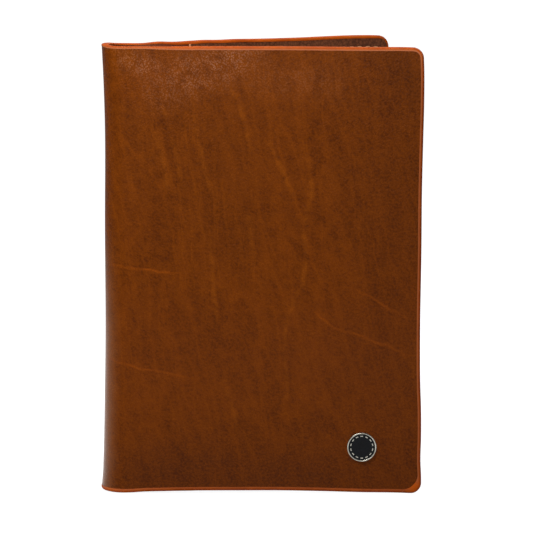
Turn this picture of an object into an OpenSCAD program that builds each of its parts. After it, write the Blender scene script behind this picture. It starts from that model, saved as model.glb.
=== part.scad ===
// Leather notebook cover for an A5 book: three glued plies with a painted edge, a rounded soft spine,
// a sewn sleeve inside each side and a small enamelled badge on the front. It stands on its bottom edge,
// a little open, with the front facing -Y and the spine at -X.

/* [Cover] */
// Height from painted edge to painted edge
cover_h = 220; // [150:1:320]
// Width of a side from the end of the spine's curve to the fore-edge
panel_w = 145.5; // [110:0.5:220]
// Radius of the fore-edge corners
corner_r = 5; // [3:0.5:12]
// Angle between the two sides as the cover stands
open_angle = 28; // [10:1:45]

/* [Spine] */
// Outer radius of the rounded spine
spine_r = 11.5; // [9:0.5:20]
// Share of the spine's curve that turns with each side, in degrees
shoulder_angle = 30; // [15:1:45]
// Straight run of the back before it bends away from the front
back_run = 7.5; // [2:0.5:20]
// Outer radius of that bend
bend_r = 50; // [20:1:80]
// Gap in the outer face along each fold line
fold_gap = 0.2; // [0.1:0.05:0.5]

/* [Plies] */
// Thickness of the outer leather
leather_t = 1.5; // [1:0.1:3]
// Thickness of the lining
lining_t = 0.9; // [0.5:0.1:2]

/* [Painted edge] */
// Depth of the paint bead beyond the trimmed plies
edge_depth = 1.5; // [0.8:0.1:2.5]
// Rounding of the bead's two corners
edge_round = 1.2; // [0.4:0.1:2]

/* [Sleeves] */
// Thickness of the sleeve leather
sleeve_t = 0.9; // [0.5:0.1:2]
// Clear height inside a sleeve, for the book's board
sleeve_gap = 0.8; // [0.3:0.1:3]
// Width of the sewn border round a sleeve
hem_w = 7; // [4:0.5:12]
// Distance from the end of the back's bend to the sleeve's mouth
mouth_setback = 2; // [0.5:0.5:20]
// Depth of the painted edge along a sleeve's mouth
mouth_edge = 0.6; // [0.3:0.1:1.5]
// Corner radius of the raised part of a sleeve
sleeve_corner_r = 4; // [2:0.5:10]

/* [Badge] */
// Diameter of the badge
badge_d = 15; // [10:0.5:30]
// Height of the badge over the leather
badge_h = 1.6; // [1.2:0.1:4]
// Width of the metal rim
rim_w = 0.9; // [0.5:0.1:2]
// Thickness of the metal under the enamel
badge_base_t = 0.6; // [0.3:0.1:0.8]
// Depth of the enamel below the rim
enamel_depth = 0.25; // [0.1:0.05:0.4]
// Diameter of the plain metal line in the enamel
line_d = 10.6; // [5:0.1:24]
// Width of that line
line_w = 0.35; // [0.2:0.05:1]
// Distance of the badge's middle from the fore-edge
badge_inset = 29.5; // [15:0.1:80]
// Height of the badge's middle over the bottom edge
badge_z = 23.5; // [15:0.5:200]

/* [Badge fixing] */
// Distance between the two legs
leg_pitch = 6.4; // [3:0.1:10]
// Width of a leg
leg_w = 2.4; // [1:0.1:4]
// Thickness of a leg
leg_t = 0.3; // [0.2:0.05:0.6]
// Length of a leg's bent end
leg_bend = 2; // [1:0.1:4]
// Thickness of the washer
washer_t = 0.35; // [0.2:0.05:1]
// Washer left over beyond the bent legs
washer_margin = 0.6; // [0.2:0.1:3]
// Clearance round the legs and the washer
fit_gap = 0.05; // [0.02:0.01:0.2]

/* [Hidden] */
$fn = 96;
bead_fn = 32;
// Largest rounding of a bead's two corners, as a share of its depth and thickness
bead_share = 0.9;
// Steps round a corner of the paint bead, along a curve of a side, and across the bead's own rounding
corner_steps = 9;
arc_steps = 8;
bead_steps = 4;
// Overlap that joins the curved stretch of a ply to the flat one
weld = 1;
// How far a cutting shape runs past the face that it cuts
cut_spare = 1;
// Least corner radius inside the raised part of a sleeve
least_r = 0.5;
// The interlining is as thick as the badge's fixing, so that the lining lies flat over it
interlining_t = washer_t + leg_t + fit_gap;
interlining_o = leather_t + interlining_t;
stack_t = interlining_o + lining_t;
sleeve_o = stack_t + sleeve_t;
raised_o = stack_t + sleeve_gap;
// Lengths along the back, which unrolls to the same width as the front
back_flat = panel_w - back_run - bend_r * open_angle * PI / 180;
sleeve_w = back_flat - mouth_setback;
// Closing brings the two sides parallel, half of it at each fold, and the plies' ends leave room for it
fold_spare = 0.5;
fold_taper = open_angle / 4 + fold_spare;
// The front's fold line lies on the outer face, this far round the spine's curve
fold_at = 270 - shoulder_angle;
fold_x = spine_r * cos(fold_at);
fold_y = spine_r + spine_r * sin(fold_at);
// Side of the block that slants the plies' ends, more than the plies are thick
fold_box = 3 * stack_t;
// The washer lies under both bent legs
washer_d = leg_pitch + 2 * (leg_bend + washer_margin);
// The middle of the standing cover's footprint is the origin
back_edge_y = 2 * spine_r + bend_r * (1 - cos(open_angle)) + back_flat * sin(open_angle);
middle_x = (panel_w - spine_r) / 2;
middle_y = (back_edge_y - badge_h) / 2;

leather_colour = [0.43, 0.22, 0.09];
inter_colour = [0.75, 0.70, 0.60];
lining_colour = [0.33, 0.20, 0.13];
paint_colour = [0.76, 0.32, 0.07];
metal_colour = [0.80, 0.80, 0.76];
enamel_colour = [0.06, 0.07, 0.09];

// Frames. In a side's own frame, x runs to the fore-edge, y goes in from the outer face and z is up.
module front_frame() {
    translate([-middle_x, -middle_y, 0]) children();
}

// The back is the front's mirror image up to its bend
module back_frame() {
    front_frame() translate([0, 2 * spine_r, 0]) mirror([0, 1, 0]) children();
}

// The path of a side's outer face, from the fold to the flat part. Each step of it has a point and a
// heading, which is the angle it has still to turn, or has turned beyond, the flat front's direction.
function along(heading) = [cos(heading), -sin(heading), 0];
function inward(heading) = [sin(heading), cos(heading), 0];

function shoulder_path() =
    [for (i = [1:arc_steps]) let (heading = shoulder_angle * (1 - i / arc_steps))
        [[0, spine_r, 0] - spine_r * inward(heading), heading]];

function bend_path() =
    [for (i = [0:arc_steps]) let (heading = open_angle * i / arc_steps)
        [[back_run, -bend_r, 0] + bend_r * inward(heading), heading]];

front_path = shoulder_path();
back_path = concat(shoulder_path(), bend_path());

function flat_step(path) = path[len(path) - 1];

// The plies' ends at the fold slant, so a point there depends on its depth
function fold_point(depth) =
    let (r = spine_r - depth, end = fold_gap / 2 + depth * tan(fold_taper))
    [0, spine_r, 0] - r * inward(shoulder_angle - asin(end / r));

// The flat part's own frame, and a point in it
module flat_frame(path) {
    translate(flat_step(path)[0]) rotate(-flat_step(path)[1]) children();
}

function in_flat(p, path) =
    let (from_flat = p - flat_step(path)[0], heading = flat_step(path)[1])
    [from_flat * along(heading), from_flat * inward(heading)];

// A shape at the bottom edge and its image at the top edge
module both_edges() {
    children();
    translate([0, 0, cover_h]) mirror([0, 0, 1]) children();
}

// Profiles. x is the depth in from the outer face, y is the height.
module ply_profile(from, to) {
    translate([from, edge_depth]) square([to - from, cover_h - 2 * edge_depth]);
}

// The two outer corners of a paint bead are round, with a flat land between them to stand on
function bead_radius(thick, depth, round) = min(round, depth * bead_share, thick * bead_share / 2);

module bead_profile(thick, depth, round) {
    r = bead_radius(thick, depth, round);
    intersection() {
        square([thick, depth]);
        union() {
            translate([0, r]) square([thick, depth]);
            translate([r, 0]) square([thick - 2 * r, depth]);
            for (x = [r, thick - r])
                translate([x, r]) circle(r, $fn = bead_fn);
        }
    }
}

// Sweeps of a profile along the cover
module spine_sweep(from, to) {
    translate([0, spine_r, 0]) rotate(from) rotate_extrude(angle = to - from)
        translate([spine_r, 0]) mirror([1, 0]) children();
}

// What a fold needs clear at the end of the spine's plies
module spine_relief() {
    translate([fold_x, fold_y, 0]) rotate(fold_at + fold_taper)
        translate([-fold_box / 2, -fold_gap / 2, -cut_spare])
            cube([fold_box, fold_box, cover_h + 2 * cut_spare]);
}

module spine_strip() {
    difference() {
        spine_sweep(360 - fold_at, fold_at) children();
        spine_relief();
        translate([0, 2 * spine_r, 0]) mirror([0, 1, 0]) spine_relief();
    }
}

// A flat outline whose two fore-edge corners are round
module fore_outline(from, to, low, high, r) {
    translate([from, low]) square([to - r - from, high - low]);
    translate([from, low + r]) square([to - from, high - low - 2 * r]);
    for (z = [low + r, high - r])
        translate([to - r, z]) circle(r);
}

// That outline as a plate between two depths
module fore_plate(from, to, margin, r, outer, inner) {
    translate([0, inner, 0]) rotate([90, 0, 0]) linear_extrude(inner - outer)
        fore_outline(from, to - margin, margin, cover_h - margin, r);
}

// A ply of a side: the curved stretch stands on its plan, and the flat one has round corners
function ply_line(path, depth) =
    concat([in_flat(fold_point(depth), path)],
        [for (step = path) in_flat(step[0] + depth * inward(step[1]), path)], [[weld, depth]]);

function reversed(list) = [for (i = [len(list) - 1:-1:0]) list[i]];

module side_ply(path, width, outer, inner) {
    flat_frame(path) union() {
        translate([0, 0, edge_depth]) linear_extrude(cover_h - 2 * edge_depth)
            polygon(concat(ply_line(path, outer), reversed(ply_line(path, inner))));
        fore_plate(0, width, edge_depth, corner_r - edge_depth, outer, inner);
    }
}

module front_ply(outer, inner) {
    front_frame() side_ply(front_path, panel_w, outer, inner);
}

module back_ply(outer, inner) {
    back_frame() side_ply(back_path, back_flat, outer, inner);
}

// The paint bead of a side is one sweep: from the fold along the bottom, round both fore-edge corners and
// back along the top. A ring of it is a profile across the edge, which leans from straight down to the
// fore-edge at a corner.
function outward(heading, lean) = sin(lean) * along(heading) - [0, 0, cos(lean)];

function bead_points(thick) =
    let (r = bead_radius(thick, edge_depth, edge_round))
    concat(
        [[0, 0]],
        [for (i = [0:bead_steps]) let (a = 90 * i / bead_steps)
            [r - r * cos(a), edge_depth - r + r * sin(a)]],
        [for (i = [0:bead_steps]) let (a = 90 * i / bead_steps)
            [thick - r + r * sin(a), edge_depth - r + r * cos(a)]],
        [[thick, 0]]
    );

function ring(at, heading, lean, thick) =
    [for (p = bead_points(thick)) at + p[0] * inward(heading) + p[1] * outward(heading, lean)];

function path_rings(path) =
    concat(
        [[for (p = bead_points(stack_t)) fold_point(p[0]) + [0, 0, edge_depth - p[1]]]],
        [for (step = path) ring(step[0] + [0, 0, edge_depth], step[1], 0, stack_t)]
    );

// The flat part: thin along the gutter, thicker where the sleeve's edge is under the paint too
function flat_rings(path, width) =
    let (from = flat_step(path)[0], heading = flat_step(path)[1])
    let (mouth = width - sleeve_w, r = corner_r - edge_depth, turn = width - corner_r)
    concat(
        [for (step = [[0, stack_t], [mouth_edge, sleeve_o]])
            ring(from + (mouth + step[0]) * along(heading) + [0, 0, edge_depth], heading, 0, step[1])],
        [for (i = [0:corner_steps]) let (lean = 90 * i / corner_steps)
            ring(from + (turn + r * sin(lean)) * along(heading) + [0, 0, corner_r - r * cos(lean)],
                heading, lean, sleeve_o)]
    );

function at_top(p) = [p[0], p[1], cover_h - p[2]];

// A closed skin over the rings of the bottom half and their images at the top
module paint_bead(path, width) {
    half = concat(path_rings(path), flat_rings(path, width));
    rings = concat(half, reversed([for (one = half) [for (p = one) at_top(p)]]));
    n = len(rings[0]);
    last = (len(rings) - 1) * n;
    walls = [for (i = [0:len(rings) - 2], j = [0:n - 1])
        let (a = i * n + j, b = i * n + (j + 1) % n)
        each [[a, b, b + n], [a, b + n, a + n]]];
    ends = [for (j = [1:n - 2]) each [[0, j + 1, j], [last, last + j, last + j + 1]]];
    polyhedron([for (one = rings) each one], concat(walls, ends));
}

// A sleeve's panel stands over the pocket, which is open at the mouth
module sleeve(width) {
    fore_plate(width - sleeve_w, width, edge_depth + hem_w, sleeve_corner_r, raised_o, raised_o + sleeve_t);
}

// Its sewn border lies on the lining and steps up round the pocket to carry the panel
module sleeve_hem(width) {
    mouth = width - sleeve_w;
    margin = edge_depth + hem_w;
    void_r = max(sleeve_corner_r - sleeve_t, least_r);
    past = max(sleeve_o, raised_o) + cut_spare;
    difference() {
        union() {
            fore_plate(mouth, width, edge_depth, corner_r - edge_depth, stack_t, sleeve_o);
            fore_plate(mouth, width, margin, sleeve_corner_r, stack_t, raised_o);
        }
        fore_plate(mouth - cut_spare, width, margin, sleeve_corner_r, raised_o, past);
        fore_plate(mouth - cut_spare, width, margin + sleeve_t, void_r, stack_t - cut_spare, past);
    }
}

module sleeve_edge(width) {
    margin = edge_depth + hem_w;
    translate([width - sleeve_w - mouth_edge, raised_o + sleeve_t, margin]) rotate(-90)
        linear_extrude(cover_h - 2 * margin) bead_profile(sleeve_t, mouth_edge, mouth_edge);
}

// The badge's own frame: z stands out from the leather
module badge_frame() {
    front_frame() translate([panel_w - badge_inset, 0, badge_z]) rotate([90, 0, 0]) children();
}

module at_legs() {
    for (turn = [0, 180])
        rotate(turn) translate([leg_pitch / 2, 0, 0]) children();
}

// Slits for the legs, through whatever lies between two heights
module leg_slits(low, high) {
    at_legs() translate([-leg_t / 2 - fit_gap, -leg_w / 2 - fit_gap, low])
        cube([leg_t + 2 * fit_gap, leg_w + 2 * fit_gap, high - low]);
}

module front_leather() {
    color(leather_colour) difference() {
        front_ply(0, leather_t);
        badge_frame() leg_slits(-leather_t - cut_spare, cut_spare);
    }
}

module front_interlining() {
    color(inter_colour) difference() {
        front_ply(leather_t, interlining_o);
        badge_frame() translate([0, 0, -stack_t]) cylinder(d = washer_d + 2 * fit_gap, h = stack_t);
    }
}

module front_lining() {
    color(lining_colour) front_ply(interlining_o, stack_t);
}

module front_edge_paint() {
    color(paint_colour) front_frame() paint_bead(front_path, panel_w);
}

module front_sleeve() {
    color(lining_colour) front_frame() sleeve(panel_w);
}

module front_sleeve_hem() {
    color(lining_colour) front_frame() sleeve_hem(panel_w);
}

module front_sleeve_edge() {
    color(paint_colour) front_frame() sleeve_edge(panel_w);
}

module badge_body() {
    rim_r = rim_w / 2;
    line_top = badge_h - enamel_depth;
    color(metal_colour) badge_frame() rotate_extrude() {
        square([badge_d / 2, badge_base_t]);
        translate([badge_d / 2 - rim_w, 0]) square([rim_w, badge_h - rim_r]);
        translate([badge_d / 2 - rim_r, badge_h - rim_r]) circle(rim_r, $fn = bead_fn);
        translate([(line_d - line_w) / 2, 0]) square([line_w, line_top]);
    }
}

module badge_enamel() {
    fill_h = badge_h - enamel_depth - badge_base_t;
    color(enamel_colour) badge_frame() translate([0, 0, badge_base_t]) {
        cylinder(d = line_d - line_w, h = fill_h);
        difference() {
            cylinder(d = badge_d - 2 * rim_w, h = fill_h);
            translate([0, 0, -cut_spare]) cylinder(d = line_d + line_w, h = fill_h + 2 * cut_spare);
        }
    }
}

module badge_prongs() {
    reach = leather_t + washer_t;
    color(metal_colour) badge_frame() at_legs() union() {
        translate([-leg_t / 2, -leg_w / 2, -reach - leg_t]) cube([leg_t, leg_w, reach + leg_t]);
        translate([-leg_t / 2, -leg_w / 2, -reach - leg_t]) cube([leg_bend, leg_w, leg_t]);
    }
}

module badge_washer() {
    color(metal_colour) badge_frame() difference() {
        translate([0, 0, -leather_t - washer_t]) cylinder(d = washer_d, h = washer_t);
        leg_slits(-leather_t - washer_t - cut_spare, 0);
    }
}

module spine_leather() {
    color(leather_colour) front_frame() spine_strip() ply_profile(0, leather_t);
}

module spine_interlining() {
    color(inter_colour) front_frame() spine_strip() ply_profile(leather_t, interlining_o);
}

module spine_lining() {
    color(lining_colour) front_frame() spine_strip() ply_profile(interlining_o, stack_t);
}

module spine_edge_paint() {
    color(paint_colour) front_frame() both_edges()
        spine_strip() bead_profile(stack_t, edge_depth, edge_round);
}

module back_leather() {
    color(leather_colour) back_ply(0, leather_t);
}

module back_interlining() {
    color(inter_colour) back_ply(leather_t, interlining_o);
}

module back_lining() {
    color(lining_colour) back_ply(interlining_o, stack_t);
}

module back_edge_paint() {
    color(paint_colour) back_frame() paint_bead(back_path, back_flat);
}

module back_sleeve() {
    color(lining_colour) back_frame() flat_frame(back_path) sleeve(back_flat);
}

module back_sleeve_hem() {
    color(lining_colour) back_frame() flat_frame(back_path) sleeve_hem(back_flat);
}

module back_sleeve_edge() {
    color(paint_colour) back_frame() flat_frame(back_path) sleeve_edge(back_flat);
}

front_leather();
front_interlining();
front_lining();
front_edge_paint();
front_sleeve();
front_sleeve_hem();
front_sleeve_edge();
badge_body();
badge_enamel();
badge_prongs();
badge_washer();
spine_leather();
spine_interlining();
spine_lining();
spine_edge_paint();
back_leather();
back_interlining();
back_lining();
back_edge_paint();
back_sleeve();
back_sleeve_hem();
back_sleeve_edge();
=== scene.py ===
# %% [markdown]
# # A leather notebook cover, cut flat and rolled round its spine
#
# A notebook cover is made on a bench: three plies are cut flat, pasted together, sewn along the sleeves,
# painted along the edge, and only then rolled round the spine. This lesson works in the same order.
# Every soft piece is modelled flat, where it is easy to cut and measure, and one function rolls them all,
# so the plies, the painted edge and the seams still lie on each other when the cover is bent.

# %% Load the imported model
import math

import bmesh
import bpy
import numpy as np
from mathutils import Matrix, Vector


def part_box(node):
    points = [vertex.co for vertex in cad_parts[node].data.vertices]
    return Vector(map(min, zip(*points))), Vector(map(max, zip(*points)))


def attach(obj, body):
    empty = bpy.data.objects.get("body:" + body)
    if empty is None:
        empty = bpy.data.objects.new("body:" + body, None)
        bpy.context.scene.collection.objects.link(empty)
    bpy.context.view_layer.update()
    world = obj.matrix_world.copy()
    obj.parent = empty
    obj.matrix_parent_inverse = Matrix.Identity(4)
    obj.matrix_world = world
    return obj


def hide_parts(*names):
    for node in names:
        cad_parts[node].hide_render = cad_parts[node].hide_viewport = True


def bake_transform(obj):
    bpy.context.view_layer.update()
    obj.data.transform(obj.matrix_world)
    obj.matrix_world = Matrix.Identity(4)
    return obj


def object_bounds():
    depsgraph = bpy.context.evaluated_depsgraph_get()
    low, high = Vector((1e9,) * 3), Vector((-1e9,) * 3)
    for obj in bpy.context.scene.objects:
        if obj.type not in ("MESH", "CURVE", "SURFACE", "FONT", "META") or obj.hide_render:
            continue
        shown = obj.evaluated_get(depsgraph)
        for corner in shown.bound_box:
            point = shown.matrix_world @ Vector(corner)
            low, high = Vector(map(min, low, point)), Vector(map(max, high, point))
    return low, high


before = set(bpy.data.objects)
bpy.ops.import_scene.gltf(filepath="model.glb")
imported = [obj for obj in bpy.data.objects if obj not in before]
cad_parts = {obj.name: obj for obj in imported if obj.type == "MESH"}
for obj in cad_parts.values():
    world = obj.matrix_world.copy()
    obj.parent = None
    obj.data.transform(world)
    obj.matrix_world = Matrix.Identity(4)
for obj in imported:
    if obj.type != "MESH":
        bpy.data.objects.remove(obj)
cad_low, cad_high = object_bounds()
bpy.ops.object.select_all(action="DESELECT")
print("packed nodes:", len(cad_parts), "box in mm:", [round(1000 * c) for c in cad_high - cad_low])

# %% [markdown]
# ## Camera
#
# The picture was taken from far away with a long lens, a little above the cover, with the front almost
# square to the camera. A long lens keeps the upright edges nearly parallel, so the distance matters more
# than the lens: it sets how much narrower the back cover looks than the front.

# %% Camera
camera_place, camera_tilt = (0.00217, -1.7685, 0.34331), math.radians(82.408)
bpy.ops.object.camera_add(location=camera_place, rotation=(camera_tilt, 0, 0))
camera = bpy.context.object
camera.name = "picture_camera"
camera.data.lens = 240.95
camera.data.sensor_width = 36
camera.data.clip_end = 60
bpy.context.scene.camera = camera
bpy.context.scene.view_settings.view_transform = "Standard"
print("camera lens in mm:", round(camera.data.lens, 2))

# %% [markdown]
# ## Wiring nodes
#
# Materials are wired in code. A few small helpers keep that readable: `put` adds one node and fills or links
# its inputs, `sums` and `remap` work on values, and `stain` lays shades over a colour by masks, which is the
# step that leather needs most. `close_material` ends every finish in the same way.

# %% Node helpers
def put(tree, kind, inputs=None, **settings):
    """Adds one shader node, sets its options, then links or fills its inputs."""
    node = tree.nodes.new("ShaderNode" + kind)
    for name, value in settings.items():
        setattr(node, name, value)
    for key, value in (inputs or {}).items():
        if isinstance(value, bpy.types.NodeSocket):
            tree.links.new(value, node.inputs[key])
        else:
            node.inputs[key].default_value = value
    return node


def sums(tree, operation, first, second=0.0, third=0.0, clamp=False):
    """One sum on two or three values."""
    return put(tree, "Math", {0: first, 1: second, 2: third}, operation=operation, use_clamp=clamp).outputs[0]


def vector_sums(tree, operation, first, second=(0, 0, 0), scale=1.0):
    """One sum on vectors: gives a vector, or a value for a length or a dot product."""
    other = {"Scale": scale} if operation == "SCALE" else {1: second}
    node = put(tree, "VectorMath", {0: first, **other}, operation=operation)
    return node.outputs["Value" if operation in ("LENGTH", "DOT_PRODUCT") else "Vector"]


def remap(tree, value, low, high, start, end, soft=False):
    """Turns values from low to high into values from start to end, with soft ends if asked."""
    spread = {"Value": value, "From Min": low, "From Max": high, "To Min": start, "To Max": end}
    return put(tree, "MapRange", spread, interpolation_type="SMOOTHSTEP" if soft else "LINEAR").outputs[0]


print("helpers for values:", [helper.__name__ for helper in (put, sums, vector_sums, remap)])

# %% Colours and finishes
def colour(red, green, blue):
    """A colour as it is read off a screen, from 0 to 255, as Blender's linear colour."""
    shares = (c / 255 for c in (red, green, blue))
    linear = [c / 12.92 if c <= 0.04045 else ((c + 0.055) / 1.055) ** 2.4 for c in shares]
    return (*linear, 1.0)


def mix_colours(tree, mask, first, second):
    """Goes from the first colour to the second as the mask goes from 0 to 1, in a Mix node's colour sockets."""
    return put(tree, "Mix", {0: mask, 6: first, 7: second}, data_type="RGBA").outputs[2]


def two_tone(tree, mask, first, second):
    """The same for two shades as they are read off a screen."""
    return mix_colours(tree, mask, colour(*first), colour(*second))


def stain(tree, base, layers):
    """Lays shades over a colour one after another: each layer has a mask, its largest share and its shade."""
    for mask, share, shade in layers:
        base = mix_colours(tree, sums(tree, "MULTIPLY", mask, share), base, colour(*shade))
    return base


def new_material(name):
    """An empty material and its node tree."""
    material = bpy.data.materials.new(name)
    material.use_nodes = True
    material.node_tree.nodes.clear()
    return material, material.node_tree


def close_material(tree, base, gloss, height, strength, depth, finish):
    """Ends a material: a colour, a gloss and the relief of a height, on one Principled surface."""
    relief = put(tree, "Bump", {"Height": height, "Strength": strength, "Distance": depth})
    sockets = {"Base Color": base, "Roughness": gloss, "Normal": relief.outputs[0], **finish}
    surface = put(tree, "BsdfPrincipled", sockets)
    put(tree, "OutputMaterial", {"Surface": surface.outputs[0]})


print("a middle grey in Blender's numbers:", [round(c, 3) for c in colour(188, 188, 188)])

# %% [markdown]
# ## Light and floor
#
# The photograph has one soft lamp, close by, high on the left: the front is much brighter at its top left
# than at its lower right, and the right edge lies in shade. A lamp so near falls off across the cover by
# itself, which a far one would not do. A second one in front only gives the top of the leather its sheen, a
# third overhead lights the top edges, and a fourth behind keeps the back from going dark. The floor is pale
# paper. It is lit like everything else, so it keeps the cover's shadow, and a light of its own, seen by the
# camera and in reflections, lifts it to white. In reflections that fades with distance, as it does where a
# sheet of paper ends on a table.

# %% Lamps
def soft_lamp(name, place, aim, size, watts):
    """A square softbox that looks at a point and is not seen itself."""
    bpy.ops.object.light_add(type="AREA", location=place)
    lamp = bpy.context.object
    lamp.name = name
    lamp.data.shape = "SQUARE"
    lamp.data.size = size
    lamp.data.energy = watts
    lamp.visible_camera = False
    across = [a - p for a, p in zip(aim, place)]
    flat_reach = math.hypot(across[0], across[1])
    lamp.rotation_euler = (math.atan2(flat_reach, -across[2]), 0, math.atan2(-across[0], across[1]))
    return lamp


lamps = [
    soft_lamp("key_softbox", place=(-0.20, -0.40, 0.58), aim=(-0.01, -0.03, 0.12), size=0.30, watts=2.8),
    soft_lamp("front_softbox", place=(-0.08, -1.20, 0.50), aim=(-0.02, -0.03, 0.18), size=0.28, watts=2.2),
    soft_lamp("top_softbox", place=(-0.05, 0.20, 0.95), aim=(0, 0.02, 0.12), size=0.50, watts=4.0),
    soft_lamp("rear_softbox", place=(0.60, 1.00, 0.75), aim=(0, 0.02, 0.10), size=0.50, watts=3.6),
]
print("lamps in watts:", [round(lamp.data.energy, 2) for lamp in lamps])

# %% World and floor
def seen_by_eye(tree, mirrored):
    """1 for camera rays, a share for mirror and glass rays, 0 for the rays that carry light."""
    path = put(tree, "LightPath").outputs
    bent = sums(tree, "ADD", path["Is Glossy Ray"], path["Is Transmission Ray"])
    return sums(tree, "ADD", path["Is Camera Ray"], sums(tree, "MULTIPLY", bent, mirrored), clamp=True)


white, floor_grey, room_level = (1, 1, 1, 1), (0.36, 0.36, 0.36, 1), 0.20
studio = bpy.data.worlds.new("studio_air")
studio.use_nodes = True
air = studio.node_tree
air.nodes.clear()
facing = put(air, "SeparateXYZ", {0: put(air, "TexCoord").outputs["Generated"]}).outputs["Z"]
wall = remap(air, facing, 0.05, 0.5, 1.0, 0.3, soft=True)
room_fill = put(air, "Background", {"Color": white, "Strength": room_level})
room_white = put(air, "Background", {"Color": white, "Strength": wall})
room = put(air, "MixShader", {0: seen_by_eye(air, 0.5), 1: room_fill.outputs[0], 2: room_white.outputs[0]})
put(air, "OutputWorld", {"Surface": room.outputs[0]})
bpy.context.scene.world = studio

paper, tree = new_material("paper_floor")
reach = vector_sums(tree, "LENGTH", put(tree, "TexCoord").outputs["Object"])
lift = remap(tree, reach, 0.3, 2.5, 0.90, 1.0)
fade = remap(tree, reach, 0.35, 1.2, 1.0, 0.3)
glow = put(tree, "Emission", {"Strength": sums(tree, "MULTIPLY", lift, seen_by_eye(tree, fade))})
matt = put(tree, "BsdfDiffuse", {"Color": floor_grey})
both = put(tree, "AddShader", {0: glow.outputs[0], 1: matt.outputs[0]})
put(tree, "OutputMaterial", {"Surface": both.outputs[0]})

bpy.ops.object.select_all(action="DESELECT")
bpy.ops.mesh.primitive_plane_add(size=40, location=(0, 0, cad_low.z))
floor = bpy.context.object
floor.name = "paper_floor"
floor.data.materials.append(paper)
print("floor at height:", round(cad_low.z, 4))

# %% [markdown]
# ## Sizes of the cut
#
# The cut is measured along the leather's outer face: s runs from the middle of the spine to the fore-edge,
# d runs inwards through the plies, and z runs up. Both halves of the cover have the same cut. They differ
# only in how they are bent: the front runs straight off the spine, and the back swings away in a wide bow.

# %% Sizes
mm = 0.001
cover_height = 220 * mm
side_width = 145.5 * mm
spine_radius = 11.5 * mm
quarter = spine_radius * math.pi / 2
half_width = quarter + side_width
back_run = 7.5 * mm
bow_radius = 50 * mm
opening = math.radians(28)
edge_depth = 1.5 * mm
corner_radius = 5 * mm
leather_depths = (0.0, 1.5 * mm)
interlining_depths = (1.5 * mm, 2.2 * mm)
lining_depths = (2.2 * mm, 3.1 * mm)
stack = lining_depths[1]
sleeve_thick = 0.9 * mm
sleeve_gap = 0.8 * mm
hem_width = 7 * mm
mouth_at = quarter + back_run + bow_radius * opening + 2 * mm
spine_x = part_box("spine_leather")[0].x + spine_radius
face_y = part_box("front_leather")[0].y
print("half of the cut in mm:", round(half_width / mm, 2), "sleeve mouth at:", round(mouth_at / mm, 2))

# %% [markdown]
# ## Rolling the flat cut
#
# Leather never stays ruler-straight: a soft spine is pulled in at its waist, the fore-edge bows a little,
# and the face heaves by fractions of a millimetre. Those small departures are given to the flat cut first,
# by `settle`, and then `roll` bends it: a half circle for the spine and, for the back, a wide bow that
# leaves the cover fanned open. A bend modifier could do one piece, but this way every ply keeps its depth.

# %% Settling of the leather
def ease(t):
    """Goes softly from 0 to 1."""
    t = np.clip(t, 0, 1)
    return t * t * (3 - 2 * t)


def through(at, knots, values):
    """A smooth curve through a few measured values, all in millimetres."""
    knots, values, at = np.array(knots, float), np.array(values, float), np.asarray(at) / mm
    slopes = np.gradient(values, knots)
    i = np.clip(np.searchsorted(knots, at) - 1, 0, len(knots) - 2)
    step = knots[i + 1] - knots[i]
    u = np.clip((at - knots[i]) / step, 0, 1)
    start = (1 + 2 * u) * (1 - u) ** 2 * values[i] + u * (1 - u) ** 2 * step * slopes[i]
    end = u * u * (3 - 2 * u) * values[i + 1] - u * u * (1 - u) * step * slopes[i + 1]
    return (start + end) * mm


head_lean, lean_start, lip_raise = 2.6 * mm, 176 * mm, 0.6 * mm


def settle(s, d, z, side):
    """Small departures of real leather from the drawn cut, the same for every ply of a side."""
    waist = through(z, (0, 4, 8, 16, 30, 50, 75, 130, 185, 205, 220),
                    (-1.3, -0.8, -0.45, -0.1, 0.32, 0.75, 1.2, 1.25, 1.45, 0.85, 0.15))
    low = through(s, (0, 8, 15, 21, 28, 35, 50, 75, 95, 115, 134, 153, 158, 164),
                  (0.75, 0.5, 0.32, 0.36, 0.8, 0.98, 1.25, 1.35, 1.35, 0.97, 0.45, 0.2, 0, 0.1))
    if side == "front":
        bow = through(z, (0, 8, 16, 28, 40, 55, 80, 120, 150, 175, 195, 210, 220),
                      (0.1, 0.1, 0.45, 0.2, 0.25, 0.75, 0.97, 0.55, 0.45, 0, -0.42, -0.4, 0))
        high = through(s, (0, 5, 10, 15, 25, 36, 46, 80, 98, 121, 138, 155, 160, 164),
                       (1.4, 1.15, 0.65, 0.45, 0.35, 0.25, 0.36, 0.4, 0.36, 0.15, 0.0, -0.05, -0.2, -0.2))
    else:
        bow = through(z, (0, 200, 220), (1.25, 1.25, 0.55))
        high = through(s, (0, 7, 12, 18, 26, 34, 42, 51, 58, 66, 75, 86, 100, 115, 125, 136, 147, 158, 164),
                       (1.4, 1.3, 0.9, 0.65, 0.6, 1.28, 1.05, 1.3, 1.5, 1.28, 1.38, 1.15, 1.0, 0.97, 1.08, 1.15, 1.05,
                        0.6, 0.05))
    lean_share = np.clip((z - lean_start) / (cover_height - lean_start), 0, 1.1) ** 2
    lean = head_lean * lean_share * ease((s - 8 * mm) / (18 * mm))
    lip_lift = lip_raise * np.interp((cover_height - z) / mm, (0, 1.2, 2.0, 8.0), (0, 1, 1, 0))
    high = high + lip_lift * (1 - ease((s - 28 * mm) / (22 * mm)))
    top_share = ease((z - cover_height / 2) / (cover_height / 2))
    low_share = ease(1 - z / (cover_height / 2))
    inwards = lean if side == "front" else -lean
    return s - bow * ease((s - 70 * mm) / (90 * mm)), d + inwards, z + high * top_share + low * low_share, waist


waist_halfway = settle(0.0, 0.0, cover_height / 2, "front")[3]
print("spine pulled in halfway up, in mm:", round(float(waist_halfway) / mm, 2))

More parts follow.
